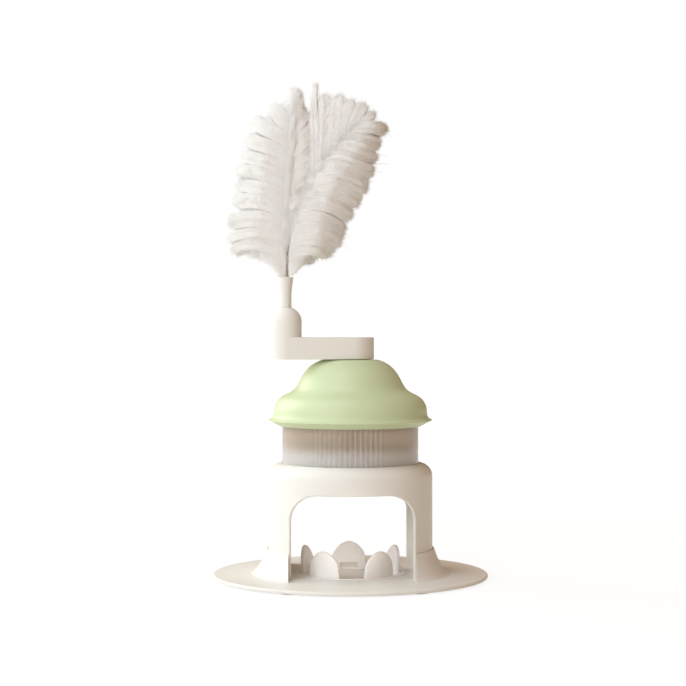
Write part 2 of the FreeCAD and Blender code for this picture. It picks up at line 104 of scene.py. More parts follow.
def noiseAt(tree, vector, scale, detail=3.0, rough=0.5):
    made = addNode(tree, "ShaderNodeTexNoise", {"Detail": detail, "Roughness": rough})
    if isinstance(scale, (int, float)):
        made.inputs["Scale"].default_value = scale
    else:
        join(tree, scale, made.inputs["Scale"])
    join(tree, vector, made.inputs["Vector"])
    return made.outputs["Fac"]


# value mapped from low..high to new limits
def mapped(tree, value, low, high, newLow, newHigh):
    limits = {"From Min": low, "From Max": high, "To Min": newLow, "To Max": newHigh}
    made = addNode(tree, "ShaderNodeMapRange", limits)
    join(tree, value, made.inputs["Value"])
    return made.outputs["Result"]


def maths(tree, operation, a, b):
    made = addNode(tree, "ShaderNodeMath", operation=operation)
    for socket, value in zip(made.inputs, (a, b)):
        if isinstance(value, (int, float)):
            socket.default_value = value
        else:
            join(tree, value, socket)
    return made.outputs["Value"]


def scaledColour(tree, colour, factor):
    made = addNode(tree, "ShaderNodeVectorMath", operation="SCALE")
    join(tree, colour, made.inputs[0])
    join(tree, factor, made.inputs["Scale"])
    return made.outputs["Vector"]


def blendColours(tree, factor, a, b):
    made = addNode(tree, "ShaderNodeMix", data_type="RGBA")
    join(tree, factor, made.inputs[0])
    for index, value in ((6, a), (7, b)):      # the node's colour sockets, as its names repeat for each type
        if isinstance(value, tuple):
            made.inputs[index].default_value = value
        else:
            join(tree, value, made.inputs[index])
    return made.outputs[2]


# shared effects

mouldSet = {
    "cloud": {"scale": 32.0, "detail": 4.0},
    "grain": {"detail": 2.0, "rough": 0.6},
    "scuff": {"scale": 60.0, "detail": 2.0, "rough": 0.7},
    "scuffTurn": (0.3, 0.9, 0.4),
    "scuffStretch": (1.0, 22.0, 22.0),
    "scuffFrom": (0.66, 0.74),    # only the highest of the streaks are scuffs
    "scuffMatt": 0.12,
    "scuffDepth": -0.35,
}


# moulded plastic: cloudy tone, fine spark-eroded grain and a few long scuffs
def buildMouldGroup(s):
    tree, inn, out = startGroup(
        "mouldedPlastic",
        [("Color", "Color", (0.8, 0.8, 0.8, 1)), ("Cloud", "Float", 0.03), ("Grain Scale", "Float", 2600.0),
         ("Base Roughness", "Float", 0.42), ("Roughness Spread", "Float", 0.08), ("Scuffs", "Float", 0.3)],
        [("Color", "Color"), ("Roughness", "Float"), ("Height", "Float")])
    place = addNode(tree, "ShaderNodeTexCoord").outputs["Object"]
    cloud = noiseAt(tree, place, **s["cloud"])
    grain = noiseAt(tree, place, inn.outputs["Grain Scale"], **s["grain"])
    stretch = addNode(tree, "ShaderNodeMapping", {"Rotation": s["scuffTurn"], "Scale": s["scuffStretch"]})
    join(tree, place, stretch.inputs["Vector"])
    streak = noiseAt(tree, stretch.outputs["Vector"], **s["scuff"])
    scuff = maths(tree, "MULTIPLY", mapped(tree, streak, *s["scuffFrom"], 0.0, 1.0), inn.outputs["Scuffs"])
    swing = maths(tree, "MULTIPLY", maths(tree, "SUBTRACT", cloud, 0.5), inn.outputs["Cloud"])
    tone = maths(tree, "ADD", maths(tree, "MULTIPLY", swing, 2.0), 1.0)
    join(tree, scaledColour(tree, inn.outputs["Color"], tone), out.inputs["Color"])
    spread = maths(tree, "MULTIPLY", maths(tree, "SUBTRACT", cloud, 0.5), inn.outputs["Roughness Spread"])
    rough = maths(tree, "ADD", inn.outputs["Base Roughness"], spread)
    matt = maths(tree, "MULTIPLY", scuff, s["scuffMatt"])
    join(tree, maths(tree, "ADD", rough, matt), out.inputs["Roughness"])
    dip = maths(tree, "MULTIPLY", scuff, s["scuffDepth"])
    join(tree, maths(tree, "ADD", grain, dip), out.inputs["Height"])
    return tree


# fine lines round an axis or along it, as on turned steel or wound thread
def buildLineGroup():
    tree, inn, out = startGroup(
        "fineLines",
        [("Color", "Color", (0.6, 0.6, 0.6, 1)), ("Stretch", "Vector", (1.0, 1.0, 30.0)),
         ("Scale", "Float", 150.0), ("Depth", "Float", 0.2), ("Base Roughness", "Float", 0.3)],
        [("Color", "Color"), ("Roughness", "Float"), ("Height", "Float")])
    place = addNode(tree, "ShaderNodeTexCoord").outputs["Object"]
    stretch = addNode(tree, "ShaderNodeMapping")
    join(tree, place, stretch.inputs["Vector"])
    join(tree, inn.outputs["Stretch"], stretch.inputs["Scale"])
    fibre = noiseAt(tree, stretch.outputs["Vector"], inn.outputs["Scale"], detail=4.0, rough=0.6)
    swing = maths(tree, "MULTIPLY", maths(tree, "SUBTRACT", fibre, 0.5), inn.outputs["Depth"])
    join(tree, scaledColour(tree, inn.outputs["Color"], maths(tree, "ADD", swing, 1.0)), out.inputs["Color"])
    join(tree, maths(tree, "ADD", inn.outputs["Base Roughness"], swing), out.inputs["Roughness"])
    join(tree, fibre, out.inputs["Height"])
    return tree


mouldGroup = buildMouldGroup(mouldSet)
lineGroup = buildLineGroup()


def startMaterial(name):
    material = bpy.data.materials.new(name)
    material.use_nodes = True
    tree = material.node_tree
    return material, tree, tree.nodes["Principled BSDF"]


def useGroup(tree, group, values):
    made = addNode(tree, "ShaderNodeGroup", node_tree=group)
    for key, value in values.items():
        made.inputs[key].default_value = value
    return made


def bumpFrom(tree, height, distance):
    made = addNode(tree, "ShaderNodeBump", {"Distance": distance, "Strength": 1.0})
    join(tree, height, made.inputs["Height"])
    return made.outputs["Normal"]


# plastics

# grain is the depth of the moulded grain in micrometres; the faces are nearly matt, so their gloss is low
plasticSet = {
    "whitePlastic": {"colour": (0.86, 0.84, 0.80), "rough": 0.42, "gloss": 0.2, "cloud": 0.012, "grain": 12},
    # the tray's white is painted lighter than the stand's, painted light standing in for the light that
    # reaches the petals inside the arch
    "trayPlasticPaintedLight": {"colour": (0.98, 0.96, 0.94), "rough": 0.45, "gloss": 0.2, "cloud": 0.015, "grain": 14},
    "wheelPlastic": {"colour": (0.90, 0.88, 0.85), "rough": 0.45, "gloss": 0.2, "cloud": 0.015, "grain": 10},
    "greenPlastic": {"colour": (0.63, 0.72, 0.46), "rough": 0.46, "gloss": 0.45, "cloud": 0.02, "grain": 8},
    "bearingPlastic": {"colour": (0.78, 0.77, 0.73), "rough": 0.30, "gloss": 0.2, "cloud": 0.01, "grain": 4},
    "shaftPlastic": {"colour": (0.42, 0.37, 0.32), "rough": 0.36, "gloss": 0.2, "cloud": 0.02, "grain": 6},
    "padRubber": {"colour": (0.62, 0.61, 0.58), "rough": 0.75, "gloss": 0.2, "cloud": 0.04, "grain": 30},
    "sealRubber": {"colour": (0.74, 0.74, 0.70), "rough": 0.62, "gloss": 0.2, "cloud": 0.03, "grain": 10},
}


def plastic(name):
    s = plasticSet[name]
    material, tree, shader = startMaterial(name)
    finish = {"Color": (*s["colour"], 1), "Base Roughness": s["rough"], "Cloud": s["cloud"]}
    mould = useGroup(tree, mouldGroup, finish)
    join(tree, mould.outputs["Color"], shader.inputs["Base Color"])
    join(tree, mould.outputs["Roughness"], shader.inputs["Roughness"])
    join(tree, bumpFrom(tree, mould.outputs["Height"], s["grain"] * micrometre), shader.inputs["Normal"])
    shader.inputs["Specular IOR Level"].default_value = s["gloss"]
    return material


# smoked clear hopper

smokeSet = {
    "colour": (0.84, 0.73, 0.62, 1),
    "paintedLightFoot": (1.0, 0.97, 0.95, 1),   # painted light: the wall is painted nearly clear where it stands round the wheel, standing in for the lit white wheel seen through it
    "fade": (0.082, 0.089),               # heights between which it goes over to the smoke
    "rough": 0.30,
    "cloud": 0.03,
    "grain": 6,
    "clear": 0.68,
    "ior": 1.45,
    "gloss": 0.12,
    # painted highlights on the crests of the ribs at the front and painted shade between them: where they
    # stand, in degrees from straight ahead, and how much lighter the crests are painted
    "ribs": {"middle": -4.0, "pitch": 4.3, "reach": 30.0, "soften": 1.1, "light": 0.09},
}


# painted light on the wall at its ribs near the front: painted highlights on the crests and painted shade
# between them
def paintedRibLight(tree, split, s):
    ahead = maths(tree, "MULTIPLY", split.outputs["Y"], -1.0)
    turn = maths(tree, "ARCTAN2", split.outputs["X"], ahead)
    place = maths(tree, "SUBTRACT", turn, math.radians(s["middle"]))
    wave = maths(tree, "COSINE", maths(tree, "MULTIPLY", place, 360 / s["pitch"]), 0.0)
    reach = math.radians(s["reach"])
    away = maths(tree, "ABSOLUTE", place, 0.0)
    inside = mapped(tree, away, reach, reach * s["soften"], s["light"], 0.0)
    return maths(tree, "SUBTRACT", 1.0, maths(tree, "MULTIPLY", wave, inside))


def smokePlastic():
    s = smokeSet
    material, tree, shader = startMaterial("smokePlastic")
    mould = useGroup(tree, mouldGroup, {"Base Roughness": s["rough"], "Cloud": s["cloud"]})
    split = addNode(tree, "ShaderNodeSeparateXYZ")
    join(tree, addNode(tree, "ShaderNodeTexCoord").outputs["Object"], split.inputs["Vector"])
    # painted light: the wall goes from the painted clear foot round the wheel up to the smoke's own tint
    share = mapped(tree, split.outputs["Z"], *s["fade"], 0.0, 1.0)
    join(tree, blendColours(tree, share, s["paintedLightFoot"], s["colour"]), mould.inputs["Color"])
    # the wall's colour carries the painted rib highlights and painted shade
    ribPaintedLit = scaledColour(tree, mould.outputs["Color"], paintedRibLight(tree, split, s["ribs"]))
    join(tree, ribPaintedLit, shader.inputs["Base Color"])
    join(tree, mould.outputs["Roughness"], shader.inputs["Roughness"])
    join(tree, bumpFrom(tree, mould.outputs["Height"], s["grain"] * micrometre), shader.inputs["Normal"])
    shader.inputs["Transmission Weight"].default_value = s["clear"]
    shader.inputs["IOR"].default_value = s["ior"]
    shader.inputs["Specular IOR Level"].default_value = s["gloss"]
    return material


# steel, horn, thread and down

lineSet = {
    "screwSteel": {"colour": (0.62, 0.61, 0.60, 1), "stretch": (1.0, 1.0, 40.0), "scale": 220.0,
                   "depth": 0.2, "rough": 0.3, "bump": 10, "metal": 1.0},
    # the quills' dark brown is partly the horn's own colour and partly painted shade of the gap between the
    # plumes where the right quill shows
    "quillHornAndShade": {"colour": (0.36, 0.31, 0.25, 1), "stretch": (20.0, 20.0, 1.0), "scale": 90.0,
                  "depth": 0.35, "rough": 0.38, "bump": 30, "metal": 0.0},
    "bindingThread": {"colour": (0.80, 0.78, 0.74, 1), "stretch": (1.0, 1.0, 9.0), "scale": 500.0,
                      "depth": 0.3, "rough": 0.8, "bump": 60, "metal": 0.0},
}


def linedFinish(name):
    s = lineSet[name]
    material, tree, shader = startMaterial(name)
    finish = {"Color": s["colour"], "Stretch": s["stretch"], "Scale": s["scale"],
              "Depth": s["depth"], "Base Roughness": s["rough"]}
    lines = useGroup(tree, lineGroup, finish)
    join(tree, lines.outputs["Color"], shader.inputs["Base Color"])
    join(tree, lines.outputs["Roughness"], shader.inputs["Roughness"])
    join(tree, bumpFrom(tree, lines.outputs["Height"], s["bump"] * micrometre), shader.inputs["Normal"])
    shader.inputs["Metallic"].default_value = s["metal"]
    return material


downSet = {
    "tints": ((0.97, 0.965, 0.95, 1), (0.93, 0.925, 0.905, 1)),
    "patches": {"scale": 70.0, "detail": 3.0},
    "patchFrom": (0.35, 0.7),
    "rough": 0.85,
}


def plumeDown(s):
    material, tree, shader = startMaterial("plumeDown")
    place = addNode(tree, "ShaderNodeTexCoord").outputs["Object"]
    cloud = noiseAt(tree, place, **s["patches"])
    tint = blendColours(tree, mapped(tree, cloud, *s["patchFrom"], 0.0, 1.0), *s["tints"])
    join(tree, tint, shader.inputs["Base Color"])
    shader.inputs["Roughness"].default_value = s["rough"]
    return material


materials = {name: plastic(name) for name in plasticSet}
materials.update({name: linedFinish(name) for name in lineSet})
materials["smokePlastic"] = smokePlastic()
materials["plumeDown"] = plumeDown(downSet)

# which finish each carried-over CAD node takes
nodeFinish = {
    "whitePlastic": ["base_plate", "stand", "outlet_deck", "crank_arm", "arm_cover", "hub_cap",
                     "feather_stem"],
    "trayPlasticPaintedLight": ["petal_tray"],
    "wheelPlastic": ["metering_wheel"],
    "greenPlastic": ["lid"],
    "smokePlastic": ["hopper"],
    "bearingPlastic": ["shaft_bush", "thrust_washer", "swivel_sleeve"],
    "shaftPlastic": ["crank_shaft"],
    "padRubber": ["grip_pads"],
    "sealRubber": ["lid_seal"],
    "screwSteel": ["stand_screws", "deck_screws", "shaft_clip", "cover_screws", "hub_screw"],
}
for finish, names in nodeFinish.items():
    for name in names:
        for place in nodes[name].material_slots:
            place.link = "OBJECT"
            place.material = materials[finish]
print("stage: materials")


# mesh helpers

def meshPiece(name, points, faces, material, body):
    mesh = bpy.data.meshes.new(name)
    mesh.from_pydata(points.tolist(), [], faces)
    mesh.polygons.foreach_set("use_smooth", [True] * len(mesh.polygons))
    mesh.materials.append(material)
    mesh.update()
    piece = bpy.data.objects.new(name, mesh)
    scene.collection.objects.link(piece)
    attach(piece, body)
    return piece


# unit vectors along the last axis
def unit(v):
    return v / np.maximum(np.linalg.norm(v, axis=-1, keepdims=True), 1e-12)


# a round tube along a path, with its own radius at each point and closed ends
def tubeAlong(path, radii, sides):
    path = np.asarray(path, float)
    tangent = unit(np.gradient(path, axis=0))
    across = unit(np.cross(tangent, (0.0, 1.0, 0.0)))
    other = np.cross(across, tangent)
    turn = np.linspace(0, 2 * math.pi, sides, endpoint=False)
    ring = (np.cos(turn)[None, :, None] * across[:, None, :]
            + np.sin(turn)[None, :, None] * other[:, None, :])
    points = (path[:, None, :] + ring * np.asarray(radii)[:, None, None]).reshape(-1, 3)
    faces = []
    for i in range(len(path) - 1):
        for j in range(sides):
            k = (j + 1) % sides
            faces.append((i * sides + j, i * sides + k, (i + 1) * sides + k, (i + 1) * sides + j))
    last = (len(path) - 1) * sides
    faces.append(tuple(range(sides - 1, -1, -1)))
    faces.append(tuple(range(last, last + sides)))
    return points, faces


# quills

sleeveLow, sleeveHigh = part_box("swivel_sleeve")
postX, postY = (sleeveLow.x + sleeveHigh.x) / 2, (sleeveLow.y + sleeveHigh.y) / 2
post = np.array((postX, postY, 0.0))

quillSet = {
    "left": {"start": -1.25, "tip": (6.0, 308.0), "baseRadius": 1.05, "tipRadius": 0.22},
    "right": {"start": 1.25, "tip": (50.0, 298.0), "baseRadius": 1.05, "tipRadius": 0.22},
    "low": 166.0,
    "straight": (180.0, 192.0),
    "bend": 200.0,
    "steps": 40,
    "sides": 12,
    "taper": 1.4,
}


# points on the quill's arc above the stem, as in the CAD; t is 0 at the bend and 1 at the tip
def quillPoint(side, t):
    s = quillSet[side]
    reach, rise = s["tip"][0] - s["start"], s["tip"][1] - quillSet["bend"]
    radius = (reach ** 2 + rise ** 2) / (2 * reach)
    whole = math.asin(rise / abs(radius))
    turn = np.asarray(t, float) * whole
    x = s["start"] + radius * (1 - np.cos(turn))
    z = quillSet["bend"] + abs(radius) * np.sin(turn)
    return post + np.stack([x, np.zeros_like(x), z], axis=-1) * mm


def makeQuill(side):
    s = quillSet[side]
    heights = (quillSet["low"], *quillSet["straight"])
    straight = [post + np.array((s["start"], 0, z)) * mm for z in heights]
    path = np.vstack([straight, quillPoint(side, np.linspace(0, 1, quillSet["steps"]))])
    share = np.linspace(0, 1, len(path))
    radii = (s["baseRadius"] + (s["tipRadius"] - s["baseRadius"]) * share ** quillSet["taper"]) * mm
    points, faces = tubeAlong(path, radii, quillSet["sides"])
    piece = meshPiece("quill" + side.capitalize(), points, faces, materials["quillHornAndShade"], "feather")
    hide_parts("quill_" + side)


for side in ("left", "right"):
    makeQuill(side)

bindingSet = {
    "low": 190.2, "high": 197.4, "turns": 13, "radius": 2.55, "thread": 0.3,
    "flatten": 0.12,        # the pair of quills is wider than it is deep
    "perTurn": 28, "sides": 6,
}


# thread wound round both quills where they enter the stem
def makeBinding(s):
    turn = np.linspace(0, 2 * math.pi * s["turns"], s["turns"] * s["perTurn"])
    rise = np.linspace(s["low"] + s["thread"], s["high"] - s["thread"], len(turn))
    squeeze = 1 - s["flatten"] * np.sin(turn) ** 2
    path = np.stack([s["radius"] * np.cos(turn), s["radius"] * squeeze * np.sin(turn), rise], axis=-1)
    points, faces = tubeAlong(post + path * mm, np.full(len(turn), s["thread"] * mm), s["sides"])
    piece = meshPiece("quillBinding", points, faces, materials["bindingThread"], "feather")
    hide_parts("quill_binding")


makeBinding(bindingSet)
print("stage: quills and binding")


# plumes

# A lobe is (side, height, half width) of its tip in mm from the post's axis, in order up the quill.
# roots is the share of the quill that the barbs stand on, past how far they start beyond its middle.
# lean is how far the barbs set out from the quill, droop the angle at which they end, in degrees from level.
# bow and curl are how far the vane swells to the front or back, and how far its edge turns back.
# gather is how closely the barbs of a lobe come together, from 0 for an even edge to 1.
plumeSet = {
    "left": {
        "seed": 3,
        "vanes": [
            {"name": "Outer", "side": -1, "roots": (-0.03, 0.96), "past": (2.0, 2.2),
             "lobes": [(-19.0, 211.0, 6.0), (-34.5, 213.5, 5.0), (-37.0, 221.5, 5.0), (-36.8, 232.0, 7.0),
                       (-34.0, 246.5, 6.0), (-32.0, 257.0, 5.6), (-31.0, 266.5, 5.0), (-28.0, 276.5, 5.4),
                       (-25.5, 288.0, 6.4), (-19.5, 300.5, 6.0), (-8.5, 309.0, 6.4), (5.0, 319.2, 4.6)],
             "lean": (52.0, 14.0), "droop": (-46.0, 74.0), "bow": -1.0, "curl": 3.0, "gather": 1.0},
            {"name": "Inner", "side": 1, "roots": (0.1, 0.97), "past": (2.2, 2.2),
             "lobes": [(4.5, 234.0, 4.0), (8.5, 246.0, 5.0), (12.5, 258.0, 6.0), (16.0, 270.0, 6.0),
                       (18.0, 282.0, 6.0), (17.0, 295.0, 5.5), (13.0, 307.0, 4.0), (8.4, 319.2, 4.6)],
             "lean": (20.0, 8.0), "droop": (66.0, 88.0), "bow": -0.5, "curl": 5.0, "gather": 0.1},
            {"name": "Cover", "side": 1, "roots": (-0.02, 0.8), "past": (1.0, 2.0),
             "lobes": [(-3.4, 221.0, 4.0), (-1.6, 233.0, 6.0), (-0.4, 246.0, 7.0), (0.8, 259.0, 7.0),
                       (2.2, 272.0, 7.0), (3.6, 285.0, 6.5), (5.0, 298.0, 5.5), (6.2, 309.0, 4.5)],
             "lean": (5.0, 5.0), "droop": (90.0, 84.0), "bow": -1.2, "curl": 2.5, "gather": 0.15},
        ],
    },
    "right": {
        "seed": 8,
        "vanes": [
            {"name": "Inner", "side": -1, "roots": (0.2, 0.97), "past": (2.0, 2.0),
             "lobes": [(3.0, 240.0, 6.0), (4.0, 256.0, 6.0), (6.0, 272.0, 6.0), (10.0, 288.0, 6.0),
                       (14.5, 302.0, 4.5), (19.8, 324.5, 0.8), (26.5, 316.5, 5.4), (35.5, 316.0, 5.0),
                       (43.5, 312.5, 4.4), (51.5, 310.5, 4.0), (57.5, 304.5, 3.4)],
             "lean": (26.0, 10.0), "droop": (84.0, 118.0), "bow": 3.0, "curl": 2.0, "gather": 0.8},
            {"name": "Outer", "side": 1, "roots": (-0.03, 0.96), "past": (-1.2, 1.6),
             "lobes": [(17.0, 207.5, 4.5), (30.0, 211.5, 5.0), (37.0, 219.0, 4.5), (39.5, 227.0, 4.8),
                       (43.5, 236.5, 5.0), (49.5, 246.5, 5.0), (54.5, 256.0, 5.4), (58.0, 265.5, 5.0),
                       (60.0, 275.0, 4.6), (61.5, 284.0, 4.0), (67.0, 295.0, 5.0)],
             "lean": (56.0, 14.0), "droop": (-52.0, 6.0), "bow": -3.0, "curl": 12.0, "gather": 0.45},
            {"name": "Cover", "side": 1, "roots": (0.2, 0.86), "past": (1.0, 2.0),
             "lobes": [(7.6, 240.0, 5.0), (12.5, 252.0, 6.5), (19.0, 264.0, 7.0), (27.0, 275.0, 7.0),
                       (36.0, 285.0, 6.0), (46.0, 294.0, 5.0)],
             "lean": (4.0, 4.0), "droop": (70.0, 44.0), "bow": -0.6, "curl": 0.0, "gather": 1.0},
        ],
    },
    "barbs": 4,              # barbs that lie together as one lobe
    # each vane is three layers deep; set is how far one lies behind the vane's middle
    "layers": [{"shift": 0.0, "reach": 1.0, "set": -2.8}, {"shift": 0.5, "reach": 0.84, "set": 0.0},
               {"shift": 0.0, "reach": 0.98, "set": 2.8}],
    "path": {
        "rootShift": 0.9, "pastUntil": 0.35, "droopSpread": 5, "shorten": (0.96, 1.0),
        "tipSpread": 0.52, "tipRound": 0.9,       # how the tips of a lobe lie on its rounded end
        "setOut": 0.36, "comeIn": 0.34,           # lengths of the curve's handles, as shares of the barb's
        "fullDepthAt": 18,                        # mm of barb over which the vane swells to its depth
        "bowLoss": 0.3, "layerLoss": 0.7, "depthSpread": 0.35,
        "waver": 0.35, "waves": (3, 6),
        "overlap": 1.3, "leastHalf": 0.6,         # a barb's tip is a little wider than its share of the lobe
    },
    # loose strands at the right edge, from and to (side, height)
    "wisps": [((50.0, 268.0), (69.5, 271.0)), ((52.0, 274.0), (66.5, 276.5)), ((50.0, 262.0), (64.5, 266.0)),
              ((30.0, 224.0), (42.5, 214.0)), ((34.0, 229.0), (43.0, 221.0)), ((58.0, 290.0), (70.5, 289.0))],
    "wisp": {"radius": 0.32, "taper": 1.1, "depth": (4, 3), "arch": 1.6, "steps": 12, "sides": 6},
    "barb": {"rootHalf": 1.7, "depthHalf": 1.9, "steps": 26, "sides": 14, "ridge": 0.16,
             "widen": 0.7, "roundEnd": 1.6, "rootTaper": (0.4, 6), "thinning": 0.45},
    "fluff": {"perSquare": 1.25, "length": (2.0, 4.6), "width": 0.22, "middleWidth": 0.8,
              "lean": (19.0, 11.0), "splay": 34.0, "sunk": 0.1, "curl": 0.25},
    "flatten": 4.4,          # how far normals turn to the vane's own face, so that it shades as one mass
}
barbulePoints = 5            # four at the blade's foot and middle, one at its tip


# a row of points read at u from 0 to 1 of its length
def alongLine(points, u):
    points = np.asarray(points, float)
    at, whole = np.asarray(u) * (len(points) - 1), np.arange(len(points))
    return np.stack([np.interp(at, whole, column) for column in points.T], axis=-1)


def bezier(a, b, c, d, steps):
    s = np.linspace(0, 1, steps)[None, :, None]
    a, b, c, d = (p[:, None] for p in (a, b, c, d))
    return (1 - s) ** 3 * a + 3 * (1 - s) ** 2 * s * b + 3 * (1 - s) * s ** 2 * c + s ** 3 * d


# a little unevenness along each path, none at its root
def waver(paths, rng):
    f, s = plumeSet["path"], np.linspace(0, 1, paths.shape[1])[None, :, None]
    wave = rng.uniform(0, 6.28, (len(paths), 1, 3)) + s * rng.uniform(*f["waves"], (len(paths), 1, 1))
    return paths + np.sin(wave) * s * f["waver"]


# a quill's points and directions in mm from the post's axis
def quillAt(side, t):
    root = (quillPoint(side, t) - post) / mm
    return root, unit((quillPoint(side, t + 0.02) - post) / mm - root)


# the barbs of one layer of a vane, as rows of points, and the half width of each at its tip
def barbPaths(side, vane, layer, rng):
    f, k, lobes = plumeSet["path"], plumeSet["barbs"], np.array(vane["lobes"])
    count = len(lobes)
    lobe = np.repeat(np.arange(count), k)
    place = np.tile((np.arange(k) + 0.5) / k, count)
    u = ((lobe + layer["shift"]) / (count - 1)).clip(0, 1)
    low, high = vane["roots"]
    shifted = (lobe + layer["shift"] * f["rootShift"] + place) / (count + layer["shift"])
    t = low + (high - low) * shifted.clip(0, 1)
    root, up = quillAt(side, t)
    even = alongLine(lobes, ((lobe + layer["shift"] + place - 0.5) / (count - 1)).clip(0, 1))
    goal = alongLine(lobes, u)
    fall = np.radians(np.interp(u, (0, 1), vane["droop"]) + rng.normal(0, f["droopSpread"], count)[lobe])
    last = np.stack([vane["side"] * np.cos(fall), np.zeros(len(fall)), np.sin(fall)], axis=-1)
    upward = np.stack([-vane["side"] * np.sin(fall), np.zeros(len(fall)), np.cos(fall)], axis=-1)
    off = place * 2 - 1
    half = goal[:, 2]
    tip = np.stack([goal[:, 0], np.zeros(len(fall)), goal[:, 1]], axis=-1)
    tip += upward * (off * half * f["tipSpread"])[:, None]
    tip -= last * (half * (1 - np.sqrt(1 - (off * f["tipRound"]) ** 2)))[:, None]
    level = np.stack([even[:, 0], np.zeros(len(fall)), even[:, 1]], axis=-1)
    tip = level + (tip - level) * vane["gather"]
    tip = root + (tip - root) * (layer["reach"] * rng.uniform(*f["shorten"], len(fall)))[:, None]
    size = np.linalg.norm(tip - root, axis=1)[:, None]
    lean = np.radians(np.interp(u, (0, 1), vane["lean"]))[:, None]
    sideways = np.array((vane["side"], 0, 0))
    first = unit(up * np.cos(lean) + sideways * np.sin(lean))
    start = root - first * np.interp(u, (0, f["pastUntil"]), vane["past"])[:, None]
    handles = root + first * size * f["setOut"], tip - last * size * f["comeIn"]
    paths = bezier(start, *handles, tip, plumeSet["barb"]["steps"])
    s = np.linspace(0, 1, paths.shape[1])[None, :]
    grown = np.minimum(1, s * size / f["fullDepthAt"])
    depth = vane["bow"] * grown * (1 - f["bowLoss"] * s) + vane["curl"] * s ** 3
    uneven = rng.normal(0, f["depthSpread"], (len(fall), 1))
    paths[:, :, 1] += depth + (layer["set"] * (1 - f["layerLoss"] * s ** 3) + uneven) * grown
    return waver(paths, rng), half * f["overlap"] / k + f["leastHalf"]


# one barb as a flat soft pad with fine ridges along it: its rings of points, their normals and its facing
def barbPad(path, tipHalf, rng):
    b = plumeSet["barb"]
    s = np.linspace(0, 1, len(path))
    length = np.linalg.norm(np.diff(path, axis=0), axis=1).sum()
    rootHalf = min(b["rootHalf"], tipHalf)
    half = rootHalf + (tipHalf - rootHalf) * s ** b["widen"]
    straight = 1 - tipHalf * b["roundEnd"] / length
    least, slope = b["rootTaper"]
    end = np.sqrt(1 - ((s - straight).clip(0) / (1 - straight)) ** 2) * np.minimum(1, least + s * slope)
    tangent = unit(np.gradient(path, axis=0))
    across = unit(np.cross(tangent, (0.0, 1.0, 0.0)))
    facing = np.cross(across, tangent)
    turn = np.linspace(0, 2 * math.pi, b["sides"], endpoint=False)
    ridge = 1 + b["ridge"] * rng.uniform(-1, 1, b["sides"])[None, :] * np.sin(math.pi * s)[:, None]
    wide = (half * end)[:, None] * np.cos(turn)[None, :]
    deep = (b["depthHalf"] * end * (1 - b["thinning"] * s))[:, None] * np.sin(turn)[None, :] * ridge
    pad = path[:, None] + across[:, None] * wide[..., None] + facing[:, None] * deep[..., None]
    around = np.roll(pad, -1, axis=1) - np.roll(pad, 1, axis=1)
    outward = unit(np.cross(np.gradient(pad, axis=0), around))
    outward *= np.sign(((pad - path[:, None]) * outward).sum(axis=2, keepdims=True))
    return pad, outward, np.broadcast_to(facing[:, None], pad.shape)


# normals turned towards the face of the vane
def levelled(normals, facing):
    share = (normals * facing).sum(axis=-1, keepdims=True)
    return unit(normals + facing * share * (plumeSet["flatten"] - 1))


# fine barbules on a pad, each a narrow two-step blade that lies along the barb with its flat side outward
def fluffOn(pad, outward, facing, rng):
    f = plumeSet["fluff"]
    rings, sides = pad.shape[:2]
    around = np.roll(pad, -1, axis=1) - np.roll(pad, 1, axis=1)
    area = (np.linalg.norm(np.gradient(pad, axis=0), axis=2) * np.linalg.norm(around, axis=2) / 2).ravel()
    count = rng.poisson(area.sum() * f["perSquare"])
    pick = rng.choice(len(area), count, p=area / area.sum())
    i, j = pick // sides, pick % sides
    nextI, nextJ = np.minimum(i + 1, rings - 1), (j + 1) % sides
    a, b = rng.uniform(0, 1, (2, count, 1))
    near = pad[i, j] * (1 - a) + pad[nextI, j] * a
    far = pad[i, nextJ] * (1 - a) + pad[nextI, nextJ] * a
    root = near * (1 - b) + far * b
    normal = unit(outward[i, j] * (1 - b) + outward[i, nextJ] * b)
    path = unit(np.gradient(pad.mean(axis=1), axis=0))[i]
    sideways = np.cross(normal, path)
    lean = np.radians(rng.normal(*f["lean"], (count, 1)))
    splay = np.radians(rng.normal(0, f["splay"], (count, 1)))
    way = unit((path * np.cos(splay) + sideways * np.sin(splay)) * np.cos(lean) + normal * np.sin(lean))
    size = rng.uniform(*f["length"], (count, 1))
    blade = unit(np.cross(way, normal)) * f["width"] / 2
    root = root - normal * f["sunk"]
    middle = root + way * size * 0.5
    tip = middle + unit(way - normal * f["curl"]) * size * 0.5
    slim = blade * f["middleWidth"]
    points = np.stack([root - blade, root + blade, middle + slim, middle - slim, tip], axis=1)
    return points.reshape(-1, 3), np.repeat(levelled(normal, facing[i, j]), barbulePoints, axis=0)


def padFaces(rings, sides, first):
    faces = []
    for i in range(rings - 1):
        for j in range(sides):
            k, low, high = (j + 1) % sides, first + i * sides, first + (i + 1) * sides
            faces.append((low + j, high + j, high + k, low + k))
    last = first + (rings - 1) * sides
    return faces + [tuple(range(first, first + sides)), tuple(range(last + sides - 1, last - 1, -1))]


def downMesh(name, side, points, normals, faces):
    piece = meshPiece(name, post + np.vstack(points) * mm, faces, materials["plumeDown"], "feather")
    piece.data.normals_split_custom_set_from_vertices(np.vstack(normals).tolist())
    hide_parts("plume_" + side)


